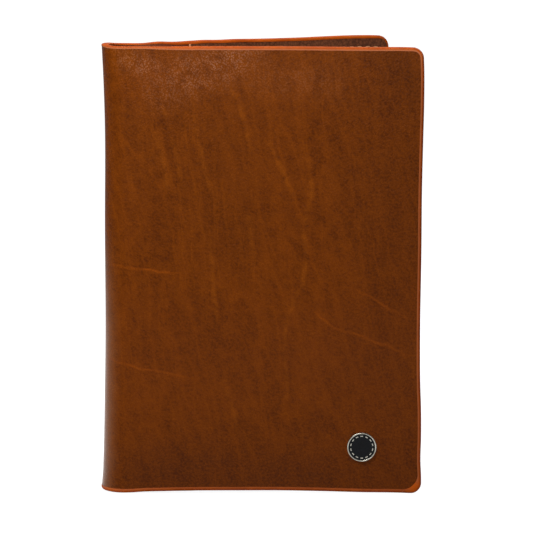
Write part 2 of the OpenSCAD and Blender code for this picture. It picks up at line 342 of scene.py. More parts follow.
# %% Rolling
def roll(points, side):
    """Bends flat points (s, d, z) to their place on the front or the back cover."""
    across, depth, up = np.asarray(points, float).T
    s, d, z, waist = settle(across, depth, up, side)
    turn = np.clip(s / spine_radius, 0, math.pi / 2)
    ring = spine_radius - d
    on_spine = s < quarter
    x = np.where(on_spine, -ring * np.cos(turn), s - quarter)
    y = np.where(on_spine, spine_radius - ring * np.sin(turn), d)
    if side == "back":
        run = s - quarter - back_run
        heading = np.clip(run / bow_radius, 0, opening)
        beyond = np.maximum(run - bow_radius * opening, 0)
        bow = bow_radius + d
        x = np.where(run > 0, back_run + bow * np.sin(heading) + beyond * np.cos(heading), x)
        y = np.where(run > 0, bow * np.cos(heading) - bow_radius - beyond * np.sin(heading), y)
        y = 2 * spine_radius - y
    x = x + waist * (1 - ease((across - 10 * mm) / (45 * mm)))
    return np.column_stack((x + spine_x, y + face_y, z))


corner_spot = roll([(half_width, 0, cover_height)], "back")[0]
print("back cover's fore-edge in mm:", [round(c / mm, 1) for c in corner_spot])

# %% [markdown]
# ## Shared finishes as node groups
#
# Several finishes share the same effects, so each effect is a node group built once: a pebbled grain, a slow
# drift of tone, streaks drawn along the hide, and one natural vein. Each takes a place in millimetres. On the
# leather and the paint that is the place on the flat cut, kept as the piece's own UV map, so the pattern
# stays where it is when the cover opens and closes.

# %% A group and its sockets
def new_group(name, inputs, outputs):
    """A node group with named sockets; gives its tree, its inputs and the end it writes to."""
    tree = bpy.data.node_groups.new(name, "ShaderNodeTree")
    for socket, kind, value in inputs:
        made = tree.interface.new_socket(socket, in_out="INPUT", socket_type="NodeSocket" + kind)
        if value is not None:
            made.default_value = value
    for socket in outputs:
        tree.interface.new_socket(socket, in_out="OUTPUT", socket_type="NodeSocketFloat")
    return tree, tree.nodes.new("NodeGroupInput").outputs, tree.nodes.new("NodeGroupOutput")


def use_group(tree, group, inputs):
    """Places a group in a material with its own values."""
    return put(tree, "Group", inputs, node_tree=group).outputs


def cut_place(tree):
    """Where a point lies on the flat cut, in millimetres."""
    return vector_sums(tree, "SCALE", put(tree, "UVMap", uv_map="flat_cut").outputs["UV"], scale=1000.0)


def push_about(tree, place, scale, reach, detail):
    """Moves a place to and fro by a noise, so that straight lines turn wavy."""
    noise = put(tree, "TexNoise", {"Vector": place, "Scale": scale, "Detail": detail}).outputs["Color"]
    centred = vector_sums(tree, "SUBTRACT", noise, (0.5, 0.5, 0.5))
    return vector_sums(tree, "ADD", place, vector_sums(tree, "SCALE", centred, scale=reach))


print("group helpers ready")

# %% Pebbled grain
pebble_grain, taken, given = new_group(
    "pebble_grain",
    [("Place", "Vector", None), ("Size", "Float", 1.0), ("Drift", "Float", 0.35)],
    ["Height", "Valleys"],
)
tree = pebble_grain
small = vector_sums(tree, "SCALE", taken["Place"], scale=sums(tree, "DIVIDE", 1.0, taken["Size"]))
moved = push_about(tree, small, 0.45, taken["Drift"], detail=2.0)
domes = put(tree, "TexVoronoi", {"Vector": moved, "Scale": 1.0, "Smoothness": 0.35}, feature="SMOOTH_F1")
walls = put(tree, "TexVoronoi", {"Vector": moved, "Scale": 1.0}, feature="DISTANCE_TO_EDGE")
dome = remap(tree, domes.outputs["Distance"], 0.1, 0.75, 1.0, 0.0, soft=True)
valley = remap(tree, walls.outputs["Distance"], 0.0, 0.16, 1.0, 0.0, soft=True)
fine = put(tree, "TexNoise", {"Vector": small, "Scale": 3.1, "Detail": 2.0}).outputs["Fac"]
tree.links.new(sums(tree, "MULTIPLY_ADD", fine, 0.35, dome), given.inputs["Height"])
tree.links.new(valley, given.inputs["Valleys"])
print("group:", pebble_grain.name)

# %% Drift of tone
tone_drift, taken, given = new_group(
    "tone_drift",
    [("Place", "Vector", None), ("Size", "Float", 30.0), ("Detail", "Float", 3.0),
     ("Low", "Float", 0.35), ("High", "Float", 0.65)],
    ["Mask"],
)
tree = tone_drift
steps = sums(tree, "DIVIDE", 1.0, taken["Size"])
noise = put(tree, "TexNoise", {"Vector": taken["Place"], "Scale": steps, "Detail": taken["Detail"]}).outputs["Fac"]
tree.links.new(remap(tree, noise, taken["Low"], taken["High"], 0.0, 1.0, soft=True), given.inputs["Mask"])


def drift_mask(tree, place, size, detail, low, high):
    """The drift of tone at one size, in a material."""
    values = {"Place": place, "Size": size, "Detail": detail, "Low": low, "High": high}
    return use_group(tree, tone_drift, values)["Mask"]


print("group:", tone_drift.name)

# %% Streaks drawn along the hide
drawn_streaks, taken, given = new_group(
    "drawn_streaks",
    [("Place", "Vector", None), ("Width", "Float", 4.0), ("Length", "Float", 60.0), ("Sharpness", "Float", 9.0)],
    ["Mask"],
)
tree = drawn_streaks
apart = put(tree, "SeparateXYZ", {0: taken["Place"]}).outputs
tall = sums(tree, "DIVIDE", apart["Y"], taken["Length"])
leaning = sums(tree, "MULTIPLY_ADD", tall, 1.2, sums(tree, "DIVIDE", apart["X"], taken["Width"]))
drawn = put(tree, "CombineXYZ", {"X": leaning, "Y": tall}).outputs[0]
noise = put(tree, "TexNoise", {"Vector": drawn, "Scale": 0.5, "Detail": 3.0, "Distortion": 0.6}).outputs["Fac"]
from_middle = sums(tree, "ABSOLUTE", sums(tree, "SUBTRACT", noise, 0.5))
line = sums(tree, "SUBTRACT", 1.0, sums(tree, "MULTIPLY", from_middle, taken["Sharpness"]), clamp=True)
tree.links.new(sums(tree, "POWER", line, 2.0), given.inputs["Mask"])


def streak_mask(tree, place, width, length, sharpness):
    """Streaks of one width and length, in a material."""
    values = {"Place": place, "Width": width, "Length": length, "Sharpness": sharpness}
    return use_group(tree, drawn_streaks, values)["Mask"]


print("group:", drawn_streaks.name)

# %% One natural vein
vein_line, taken, given = new_group(
    "vein_line",
    [("Place", "Vector", None), ("From", "Vector", None), ("To", "Vector", None), ("Bow", "Float", 0.0),
     ("Width", "Float", 1.0)],
    ["Mask"],
)
tree = vein_line
along = vector_sums(tree, "SUBTRACT", taken["To"], taken["From"])
heading = vector_sums(tree, "NORMALIZE", along)
sideways = put(tree, "VectorRotate", {"Vector": heading, "Angle": math.pi / 2}, rotation_type="Z_AXIS").outputs[0]
offset = vector_sums(tree, "SUBTRACT", taken["Place"], taken["From"])
reach = vector_sums(tree, "DOT_PRODUCT", offset, heading)
share = sums(tree, "DIVIDE", reach, vector_sums(tree, "LENGTH", along), clamp=True)
aside = vector_sums(tree, "DOT_PRODUCT", offset, sideways)
arch = sums(tree, "MULTIPLY", sums(tree, "MULTIPLY", share, sums(tree, "SUBTRACT", 1.0, share)), 4.0)
away = sums(tree, "SUBTRACT", aside, sums(tree, "MULTIPLY", arch, taken["Bow"]))
thin = sums(tree, "DIVIDE", sums(tree, "ABSOLUTE", away), taken["Width"])
line = remap(tree, thin, 0.0, 1.0, 1.0, 0.0, soft=True)
tree.links.new(sums(tree, "MULTIPLY", line, sums(tree, "POWER", arch, 0.4)), given.inputs["Mask"])


def line_mask(tree, place, begin, end, width, bow=0.0):
    """One line or long patch between two points of the cut, in a material."""
    values = {"Place": place, "From": (*begin, 0), "To": (*end, 0), "Bow": bow, "Width": width}
    return use_group(tree, vein_line, values)["Mask"]


print("group:", vein_line.name)

# %% [markdown]
# ## Waxed outer leather
#
# The outside is waxed pull-up leather: a warm cognac brown that turns lighter wherever it is bent or rubbed,
# with orange veins where the hide once grew. One flat brown would look like plastic, so the colour is built
# in layers: a slow drift of tone, finer clouds, streaks and threads along the hide, the veins and scars that
# the photograph shows one by one, patches of darker or duller tone, and the pores of the grain. Some patches
# are painted shade, darker along the fore-edge, the foot and the top corner by the fore-edge, and a greyer
# patch over the lower half is a painted reflection. The same masks drive roughness and bump, so they agree.
# The lower spine, where a hand holds the cover, and some places at the head are burnished: there a clear coat
# lies over the leather, and the leather under it is painted lighter as a painted sheen and reflection. All
# places are in millimetres of the flat cut.

# %% Veins of the hide
vein_width, scar_width = 2.0, 1.1
hide_veins = [
    ((36.6, 192.4), (46.8, 149.9), 0.0),
    ((32.3, 179.2), (38.0, 145.0), 1.0),
    ((51.1, 187.5), (60.8, 146.4), 0.0),
    ((68.8, 202.1), (79.4, 168.0), 1.6),
    ((78.0, 141.5), (81.9, 110.5), 0.0),
    ((59.9, 131.7), (63.7, 77.4), -0.5),
    ((65.6, 59.5), (75.4, 22.7), 0.0),
    ((107.7, 166.0), (105.3, 131.7), 2.5),
    ((105.3, 133.0), (103.9, 101.0), 1.8),
    ((103.9, 103.0), (95.6, 70.0), -1.9),
    ((95.6, 72.0), (95.6, 42.6), 1.9),
    ((88.2, 174.3), (101.4, 146.4), 0.0),
]
hide_scars = [
    ((131.7, 101.7), (157.7, 86.8), 0.0),
    ((111.2, 90.8), (121.0, 81.9), 0.0),
    ((119.5, 82.5), (156.9, 67.5), 2.2),
    ((7.0, 113.2), (45.0, 109.6), 0.0),
    ((6.0, 66.5), (49.0, 57.4), 0.0),
]
tone_patches = [
    # Painted shade: the next four rows darken the fore-edge and the foot, which the lamp high on the left lights
    # less.
    ("fore_edge_shade", (158, -30), (158, 250), 62),
    ("foot", (-10, 0), (190, 0), 52),
    ("heel_shade", (16, 8), (72, 12), 24),
    ("sole_shade", (66, 4), (124, 6), 24),
    ("chest", (70, 196), (74, 112), 28),
    ("veined", (36, 204), (64, 96), 44),
    # Painted reflection: the next row lays a greyer veil over the lower half, where the leather mirrors the pale
    # floor.
    ("lower_reflection", (-10, 62), (190, 62), 52),
    ("grip", (0, -90), (0, 260), 16),
    ("head_left", (11, 215), (36, 209), 9),
    ("head_middle", (26, 196), (88, 220), 17),
    ("head_right", (74, 204), (126, 202), 13),
    # Painted shade: the next row darkens the top corner by the fore-edge.
    ("corner_shade", (140, 226), (166, 194), 17),
    ("shoulder", (150, 210), (152, 120), 34),
]
print("veins:", len(hide_veins), "scars:", len(hide_scars), "patches:", len(tone_patches))

# %% Masks of the waxed leather
waxed_leather, tree = new_material("waxed_leather")
cut = cut_place(tree)
wavy = push_about(tree, cut, 0.09, 4.0, detail=4.0)


def strongest(tree, lines, width):
    """The strongest of several lines of one width at each point."""
    mask = 0.0
    for begin, end, bow in lines:
        mask = sums(tree, "MAXIMUM", mask, line_mask(tree, wavy, begin, end, width, bow))
    return mask


veins, scars = strongest(tree, hide_veins, vein_width), strongest(tree, hide_scars, scar_width)
patch = {name: line_mask(tree, wavy, begin, end, width) for name, begin, end, width in tone_patches}
slow = drift_mask(tree, cut, 52.0, 2.0, 0.32, 0.68)
cloud = drift_mask(tree, wavy, 6.0, 5.0, 0.30, 0.72)
speck = drift_mask(tree, cut, 1.2, 3.0, 0.30, 0.70)
streak = streak_mask(tree, wavy, 4.4, 26.0, 7.0)
threads = sums(tree, "MULTIPLY", streak_mask(tree, wavy, 2.4, 40.0, 13.0), patch["veined"])
fibre = streak_mask(tree, cut, 1.8, 2.4, 6.0)
grain = use_group(tree, pebble_grain, {"Place": cut, "Size": 0.9, "Drift": 0.7})
print("masks of the leather:", len(patch), "patches,", len(tree.nodes), "nodes")

# %% Burnished places and painted sheen
grip_low, grip_high = 60.0, 146.0
up = put(tree, "SeparateXYZ", {0: wavy}).outputs["Y"]
# Besides the clear coat, this mask carries a painted reflection on the lower spine.
spine_coat_and_painted_reflection = sums(tree, "MULTIPLY", patch["grip"], remap(tree, up, grip_low, grip_high, 1.0, 0.0, soft=True))
faint = sums(tree, "MULTIPLY", patch["head_right"], 0.40)
head = sums(tree, "MAXIMUM", patch["head_left"], sums(tree, "MAXIMUM", patch["head_middle"], faint))
# Besides the clear coat, these masks carry a painted sheen at the head and painted glints on its pebble tops.
head_wax_and_painted_sheen = sums(tree, "MULTIPLY", head, remap(tree, cloud, 0.0, 0.9, 0.25, 1.0))
polish_and_painted_glint = sums(tree, "MULTIPLY", head_wax_and_painted_sheen, remap(tree, grain["Height"], 0.35, 1.1, 0.0, 1.0))
burnish = sums(tree, "MAXIMUM", sums(tree, "MULTIPLY", spine_coat_and_painted_reflection, 0.85), sums(tree, "MULTIPLY", polish_and_painted_glint, 0.5))
print("burnished places: the grip and the head,", len(tree.nodes), "nodes")

# %% Waxed leather
brown = stain(tree, two_tone(tree, slow, (84, 35, 3), (98, 43, 4)), [
    (cloud, 0.62, (122, 57, 5)),
    (streak, 0.36, (146, 70, 7)),
    (threads, 0.34, (158, 78, 8)),
    (fibre, 0.24, (150, 74, 8)),
    # Painted sheen and painted glints: the head is painted lighter where its top tips back towards the lamps, palest
    # on the pebble tops.
    (head_wax_and_painted_sheen, 0.45, (146, 74, 16)),
    (polish_and_painted_glint, 0.35, (176, 108, 58)),
    # Painted reflection: the lower spine is painted lighter where its curve mirrors the pale floor.
    (spine_coat_and_painted_reflection, 0.77, (166, 104, 48)),
    (veins, remap(tree, cloud, 0.1, 0.8, 0.09, 0.41), (164, 84, 12)),
    (scars, remap(tree, cloud, 0.1, 0.8, 0.38, 0.66), (166, 79, 8)),
    # Painted shade: the next four layers darken the fore-edge and the foot, which the lamp high on the left lights
    # less.
    (patch["fore_edge_shade"], 0.32, (64, 27, 12)),
    (patch["foot"], 0.32, (60, 29, 21)),
    (patch["heel_shade"], 0.30, (58, 29, 21)),
    (patch["sole_shade"], 0.28, (58, 29, 21)),
    (patch["chest"], 0.18, (66, 27, 4)),
    (patch["veined"], 0.15, (66, 27, 4)),
    # Painted shade: the top corner by the fore-edge is darker.
    (patch["corner_shade"], 0.34, (56, 23, 3)),
    (patch["shoulder"], 0.13, (56, 23, 3)),
    # Painted reflection: a greyer veil over the lower half, as the pale floor gives in reflection.
    (patch["lower_reflection"], 0.20, (102, 50, 26)),
    (grain["Valleys"], 0.33, (46, 18, 2)),
    (speck, 0.33, (136, 66, 7)),
])
gloss = remap(tree, cloud, 0.0, 1.0, 0.34, 0.44)
close_material(tree, brown, gloss, grain["Height"], 1.0, 0.10 * mm, {
    "Specular IOR Level": 0.05, "Coat Weight": burnish, "Coat Roughness": 0.34})
print("waxed leather nodes:", len(tree.nodes))

# %% [markdown]
# ## Painted edge
#
# The cut edges are sealed with several coats of orange edge paint, built up into a round bead. Paint lies
# smooth but never quite even, so its colour drifts along the edge and it has small rubbed, darker places. The
# fore-edge and the foot carry painted shade and the top edges keep the lit orange; the lip on the outer face
# carries a painted highlight.

# %% Edge paint
edge_paint, tree = new_material("orange_edge_paint")
cut = cut_place(tree)
drift = drift_mask(tree, cut, 7.0, 4.0, 0.30, 0.70)
rub = drift_mask(tree, cut, 1.6, 4.0, 0.56, 0.74)
grain = use_group(tree, pebble_grain, {"Place": cut, "Size": 0.7, "Drift": 0.5})
lip_highlight = put(tree, "Attribute", attribute_name="bead_lip_highlight").outputs["Fac"]
edge_shade = put(tree, "Attribute", attribute_name="bead_painted_shade").outputs["Fac"]
# Lit and shaded copies of the paint: painted shade darkens the fore-edge and the foot, and the top edges keep the lit
# orange.
lit_orange = two_tone(tree, drift, (188, 78, 9), (204, 92, 15))
shaded_orange = two_tone(tree, drift, (144, 58, 7), (162, 69, 10))
orange = stain(tree, mix_colours(tree, edge_shade, lit_orange, shaded_orange), [(rub, 0.40, (104, 38, 8))])
# Painted highlight: a pale line along the lip on the outer face, dimmer where the painted shade lies.
highlight_tone = two_tone(tree, edge_shade, (216, 137, 95), (166, 94, 54))
orange = mix_colours(tree, sums(tree, "MULTIPLY", lip_highlight, 0.70), orange, highlight_tone)
uneven = sums(tree, "ADD", grain["Height"], drift)
gloss = remap(tree, rub, 0.0, 1.0, 0.46, 0.58)
close_material(tree, orange, gloss, uneven, 0.5, 0.06 * mm, {"Specular IOR Level": 0.06})
print("edge paint nodes:", len(tree.nodes))

# %% [markdown]
# ## Lining, sleeve leather and interlining
#
# Inside, the cover is lined with a thin reddish-brown leather, and the sleeves are of a darker leather with
# a clear pebble. Both use the same grain group with a larger pebble than the outside. The sleeve's seam is
# pressed in a shallow groove, made with a bump from the distance to the cut's edges. Between leather and
# lining lies a layer of pale bonded fibre, which shows only where the cover is cut open.

# %% Lining leather
lining_leather, tree = new_material("lining_leather")
cut = cut_place(tree)
slow = drift_mask(tree, cut, 34.0, 3.0, 0.33, 0.68)
grain = use_group(tree, pebble_grain, {"Place": cut, "Size": 1.0, "Drift": 0.45})
crease = streak_mask(tree, cut, 7.0, 90.0, 14.0)
red_brown = stain(tree, two_tone(tree, slow, (106, 48, 24), (128, 62, 32)), [
    (grain["Valleys"], 0.35, (56, 26, 16)),
    (crease, 0.25, (134, 74, 44)),
])
gloss = remap(tree, grain["Valleys"], 0.0, 1.0, 0.50, 0.68)
close_material(tree, red_brown, gloss, grain["Height"], 0.7, 0.12 * mm, {"Specular IOR Level": 0.15})
print("lining nodes:", len(tree.nodes))

# %% Sleeve leather
seam_inset = 4.3 * mm
groove_half_width = 1.1
sleeve_leather, tree = new_material("sleeve_leather")
cut = cut_place(tree)
slow = drift_mask(tree, cut, 40.0, 3.0, 0.33, 0.68)
grain = use_group(tree, pebble_grain, {"Place": cut, "Size": 1.5, "Drift": 0.5})
apart = put(tree, "SeparateXYZ", {0: cut}).outputs
across = sums(tree, "SUBTRACT", (half_width - edge_depth) / mm, sums(tree, "ABSOLUTE", apart["X"]))
up_middle = sums(tree, "ABSOLUTE", sums(tree, "SUBTRACT", apart["Y"], cover_height / 2 / mm))
upward = sums(tree, "SUBTRACT", (cover_height / 2 - edge_depth) / mm, up_middle)
from_edge = sums(tree, "MINIMUM", across, upward)
from_seam = sums(tree, "ABSOLUTE", sums(tree, "SUBTRACT", from_edge, seam_inset / mm))
groove = remap(tree, from_seam, 0.0, groove_half_width, 1.0, 0.0, soft=True)
dark_brown = stain(tree, two_tone(tree, slow, (94, 50, 28), (112, 62, 36)), [
    (grain["Valleys"], 0.60, (44, 23, 14)),
    (grain["Height"], 0.40, (134, 80, 50)),
    (groove, 0.35, (48, 27, 19)),
])
gloss = remap(tree, grain["Valleys"], 0.0, 1.0, 0.48, 0.66)
pressed = sums(tree, "SUBTRACT", grain["Height"], sums(tree, "MULTIPLY", groove, 1.6))
close_material(tree, dark_brown, gloss, pressed, 0.8, 0.14 * mm, {"Specular IOR Level": 0.15})
print("sleeve leather nodes:", len(tree.nodes))

# %% Bonded interlining
bonded_fibre, tree = new_material("bonded_fibre")
cut = cut_place(tree)
tangle = drift_mask(tree, cut, 0.8, 5.0, 0.30, 0.72)
slow = drift_mask(tree, cut, 25.0, 2.0, 0.30, 0.70)
fleece = stain(tree, two_tone(tree, tangle, (176, 160, 136), (206, 192, 168)), [(slow, 0.3, (160, 140, 112))])
close_material(tree, fleece, 0.9, tangle, 0.6, 0.10 * mm, {})
print("interlining nodes:", len(tree.nodes))

# %% [markdown]
# ## Cutting the plies
#
# A ply starts as a plane the size of its cut. The two fore-edge corners are rounded with a vertex bevel, and
# the sheet is then sliced into a fine mesh: narrow columns over the spine, where it will bend, and wider ones
# over the flat. Slicing with bisect keeps the outline exact, which plain subdivision would not. Solidify
# gives the thickness while the sheet is still flat, so it is the same everywhere.

# %% Cutting helpers
def slice_mesh(piece, columns, rows):
    """Cuts a flat mesh along lines of s and of z, so that it can bend."""
    mesh = bmesh.new()
    mesh.from_mesh(piece.data)
    lines = [((s, 0, 0), (1, 0, 0)) for s in columns] + [((0, 0, z), (0, 0, 1)) for z in rows]
    for spot, facing in lines:
        everything = mesh.verts[:] + mesh.edges[:] + mesh.faces[:]
        bmesh.ops.bisect_plane(mesh, geom=everything, plane_co=spot, plane_no=facing, dist=1e-7)
    mesh.to_mesh(piece.data)
    mesh.free()


def select_where(piece, test):
    """Selects the vertices whose place passes the test, and only those, in edit mode."""
    bpy.ops.object.mode_set(mode="EDIT")
    bpy.ops.mesh.select_mode(type="VERT")
    bpy.ops.mesh.select_all(action="DESELECT")
    bpy.ops.object.mode_set(mode="OBJECT")
    for vertex in piece.data.vertices:
        vertex.select = bool(test(vertex.co))
    bpy.ops.object.mode_set(mode="EDIT")


def cut_sheet(name, near, far, low, high, corner):
    """A flat sheet with its fore-edge corners rounded, at depth 0, facing outwards."""
    bpy.ops.object.select_all(action="DESELECT")
    middle = ((near + far) / 2, 0, (low + high) / 2)
    bpy.ops.mesh.primitive_plane_add(size=1, location=middle, rotation=(math.pi / 2, 0, 0))
    piece = bpy.context.object
    piece.name = name
    piece.scale = (far - near, high - low, 1)
    bpy.ops.object.transform_apply(location=True, rotation=True, scale=True)
    select_where(piece, lambda spot: spot.x > (near + far) / 2)
    bpy.ops.mesh.bevel(offset=corner, segments=10, affect="VERTICES")
    bpy.ops.object.mode_set(mode="OBJECT")
    return piece


print("helpers for cutting:", [helper.__name__ for helper in (slice_mesh, select_where, cut_sheet)])

# %% Sheet of a ply
ply_end, ply_low, ply_high = half_width - edge_depth, edge_depth, cover_height - edge_depth
turn_radius = corner_radius - edge_depth
spine_columns = np.arange(1, 29) * mm
side_columns = np.linspace(29 * mm, ply_end, 58)[:-1]
height_rows = np.linspace(ply_low, ply_high, 91)[1:-1]
ply_sheet = cut_sheet("ply_sheet", 0.0, ply_end, ply_low, ply_high, turn_radius)
slice_mesh(ply_sheet, [*spine_columns, *side_columns], height_rows)
print("ply sheet faces:", len(ply_sheet.data.polygons))

# %% From flat to rolled
sides = ("front", "back")


def pick(piece):
    """Selects one piece alone and makes it the active one."""
    bpy.ops.object.select_all(action="DESELECT")
    piece.select_set(True)
    bpy.context.view_layer.objects.active = piece


def twin_of(piece):
    """A copy of a piece with its own mesh."""
    twin = piece.copy()
    twin.data = piece.data.copy()
    bpy.context.scene.collection.objects.link(twin)
    return twin


def lay_on(flat_piece, side, name, material):
    """Copies a flat piece, writes its cut on it as a UV map and rolls it to its side."""
    piece = twin_of(flat_piece)
    piece.name = piece.data.name = name
    mesh = piece.data
    flat = np.zeros(len(mesh.vertices) * 3)
    mesh.vertices.foreach_get("co", flat)
    flat = flat.reshape(-1, 3)
    corners = np.zeros(len(mesh.loops), int)
    mesh.loops.foreach_get("vertex_index", corners)
    away = 1 if side == "front" else -1
    for old in list(mesh.uv_layers):
        mesh.uv_layers.remove(old)
    cut_map = mesh.uv_layers.new(name="flat_cut")
    cut_map.data.foreach_set("uv", (flat[corners][:, (0, 2)] * (away, 1)).ravel())
    mesh.vertices.foreach_set("co", roll(flat, side).ravel())
    if side == "back":
        mesh.flip_normals()
    mesh.materials.clear()
    mesh.materials.append(material)
    mesh.update()
    pick(piece)
    bpy.ops.object.shade_smooth_by_angle(angle=math.radians(40))
    return piece


print("sides to roll:", sides)


def wrap_spine(piece):
    """Bakes a piece's placement into its mesh."""
    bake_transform(piece)


# %% Leather, interlining and lining
def add_thickness(piece, thickness):
    """Gives a flat sheet its thickness, inwards, and applies it as the Apply button does."""
    pick(piece)
    modifier = piece.modifiers.new("thickness", "SOLIDIFY")
    modifier.thickness = thickness
    modifier.offset = -1
    modifier.use_even_offset = False
    bpy.ops.object.modifier_apply(modifier=modifier.name)


plies = (
    ("leather", leather_depths, waxed_leather, "outer_leather"),
    ("interlining", interlining_depths, bonded_fibre, "interlining"),
    ("lining", lining_depths, lining_leather, "lining"),
)
halves = {}
for ply, (top, under), material, finish in plies:
    flat_ply = twin_of(ply_sheet)
    for vertex in flat_ply.data.vertices:
        vertex.co.y = top
    add_thickness(flat_ply, under - top)
    for side in sides:
        half = lay_on(flat_ply, side, f"{side}_half_{ply}", material)
        wrap_spine(half)
        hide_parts(f"{side}_{ply}", f"spine_{ply}")
        halves[side, ply] = half
    bpy.data.objects.remove(flat_ply)
bpy.data.objects.remove(ply_sheet)
print("plies:", sorted(half.name for half in halves.values()))

# %% [markdown]
# ## The painted edge bead
#
# The bead starts as a small D-shaped loop at the middle of the spine. It is extruded along the bottom edge,
# spun round the corner, extruded up the fore-edge, spun again and extruded back along the top: the way the
# brush goes round the cover. Then it is sliced like the plies and rolled with them. Past the sleeve's mouth
# the stack is one leather thicker, so the bead grows to cover it. Two attributes mark where light is painted:
# a painted highlight along the lip on the outer face, and painted shade on the fore-edge, the foot and, less,
# the top. At the lower corner the paint runs in over the leather.

# %% Profile of the bead
bead_points = 18
outer_lip, inner_lip = 0.30 * mm, 0.02 * mm
lip_rise = 0.14 * mm
side_fullness, face_fullness = 0.72, 0.86


def start_profile(name, outline):
    """A closed loop of points as an object in edit mode, all selected: it begins as a circle."""
    bpy.ops.object.select_all(action="DESELECT")
    bpy.ops.mesh.primitive_circle_add(vertices=len(outline), radius=1)
    piece = bpy.context.object
    piece.name = name
    for vertex, spot in zip(piece.data.vertices, outline):
        vertex.co = spot
    bpy.ops.object.mode_set(mode="EDIT")
    bpy.ops.mesh.select_all(action="SELECT")
    return piece


bead_angles = np.linspace(-math.pi / 2, math.pi / 2, bead_points)
bead_lips = np.where(bead_angles < 0, outer_lip, inner_lip)
bead_reach = (edge_depth + bead_lips) * np.abs(np.cos(bead_angles)) ** side_fullness - bead_lips
bead_swell = np.sign(bead_angles) * np.abs(np.sin(bead_angles)) ** face_fullness
bead_depth = stack / 2 + (stack / 2 + lip_rise) * bead_swell
bead_outline = [(0, d, edge_depth - e) for e, d in zip(bead_reach, bead_depth)]
print("bead profile points:", len(bead_outline))

# %% Sweep of the bead
turn_s, turn_low, turn_high = ply_end - turn_radius, ply_low + turn_radius, ply_high - turn_radius


def draw_out(along, aside, up):
    """Extrudes what is selected by a move."""
    bpy.ops.mesh.extrude_region_move(TRANSFORM_OT_translate={"value": (along, aside, up)})


def spin_corner(height):
    """Spins the end of the sweep round a corner of the cut, whose middle is at a height."""
    bpy.ops.mesh.spin(steps=10, angle=math.pi / 2, axis=(0, 1, 0), center=(turn_s, 0, height))


def close_up():
    """Turns all faces of the mesh in edit mode outwards, and leaves edit mode."""
    bpy.ops.mesh.select_all(action="SELECT")
    bpy.ops.mesh.normals_make_consistent(inside=False)
    bpy.ops.object.mode_set(mode="OBJECT")


bead = start_profile("bead", bead_outline)
draw_out(turn_s, 0, 0)
spin_corner(turn_low)
draw_out(0, 0, cover_height - 2 * edge_depth - 2 * turn_radius)
spin_corner(turn_high)
draw_out(turn_radius - ply_end, 0, 0)
bpy.ops.mesh.select_all(action="SELECT")
bpy.ops.mesh.remove_doubles(threshold=1e-6)
for at_top in (False, True):
    select_where(bead, lambda spot: abs(spot.x) < 1e-6 and (spot.z > cover_height / 2) == at_top)
    bpy.ops.mesh.edge_face_add()
close_up()
near_corner = np.arange(1, 9) * 0.8 * mm
slice_mesh(bead, [*spine_columns, *side_columns[side_columns < turn_s], *(turn_s - near_corner)],
           [*(z for z in height_rows if turn_low < z < turn_high), *(turn_low + near_corner)])
spots = np.array([v.co for v in bead.data.vertices])
print("bead spans in mm:", np.round(spots.min(0) / mm, 2), np.round(spots.max(0) / mm, 2))

# %% Painted shade, painted highlight and growth of the bead
run_in, run_in_reach, diagonal = 2.2 * mm, 8 * mm, 0.71
foot_rise, sleeve_step = 0.25 * mm, 1.5 * mm
# Shares of the painted shade and the painted highlight along the bead.
top_shade_share, foot_less_shade, foot_highlight_drop, orange_kept = 0.62, 0.25, 0.6, 0.9


def short_of(value, limit, width):
    """1 well below a limit, and softly 0 at it."""
    return ease((limit - value) / width)


for name in ("bead_lip_highlight", "bead_painted_shade"):
    bead.data.attributes.new(name, "FLOAT", "POINT")
lip_highlight_marks, shade_marks = (bead.data.attributes[name].data for name in ("bead_lip_highlight", "bead_painted_shade"))
for i, vertex in enumerate(bead.data.vertices):
    s, d, z = vertex.co
    past_side = max(s - turn_s, 0)
    past_end = max(abs(z - cover_height / 2) - cover_height / 2 + turn_low, 0)
    reach = math.hypot(past_side, past_end) - turn_radius
    at_corner = ease(1 - math.hypot(s - ply_end, z - edge_depth) / run_in_reach)
    at_foot = short_of(z, 6 * mm, 3 * mm)
    on_face = short_of(d, 1.0 * mm, 0.4 * mm) * short_of(reach, 0.6 * mm, 0.4 * mm)
    # Painted highlight along the lip on the outer face, left out at the lower corner and dimmer at the foot.
    lip_highlight_marks[i].value = on_face * (1 - at_corner) * (1 - foot_highlight_drop * at_foot)
    # Painted shade: full along the fore-edge, a little less along the foot, less on the top edges, and almost none at
    # the lower fore-edge corner and at the foot's end by the spine.
    near_foot = short_of(s, 50 * mm, 40 * mm) * short_of(z, 110 * mm, 60 * mm)
    kept = max(at_corner * short_of(reach, 1.0 * mm, 0.9 * mm), near_foot)
    edge_shade = top_shade_share + (1 - top_shade_share) * short_of(z, 219 * mm, 12 * mm)
    shade_marks[i].value = edge_shade * (1 - foot_less_shade * at_foot) * (1 - orange_kept * kept)
    if d < 0.5 * mm:
        on_lip = short_of(reach, 0.8 * mm, 0.9 * mm)
        pull = run_in * at_corner * on_lip
        vertex.co.x -= pull * diagonal
        vertex.co.z += pull * diagonal + foot_rise * at_foot * on_lip
    grown = ease((s - mouth_at + sleeve_step) / sleeve_step)
    vertex.co.y += grown * sleeve_thick * max(d, 0) / stack
print("bead points marked:", len(bead.data.vertices))

# %% Bead on both sides
for side in sides:
    piece = lay_on(bead, side, f"{side}_half_edge_bead", edge_paint)
    wrap_spine(piece)
    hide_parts(f"{side}_edge_paint", "spine_edge_paint")
bpy.data.objects.remove(bead)
print("bead laid on", sides)

# %% [markdown]
# ## Sleeves
#
# A sleeve is a thin leather pocket sewn to the lining on three sides. Its border lies flat under the seam, and
# the middle stands off a little so that a notebook's cover slides in. It is cut like a ply, lifted off the
# lining by its distance from the sewn edges, and given its thickness before it is rolled.

# %% Sleeve leather panels
mouth_slant = 2.6 * mm


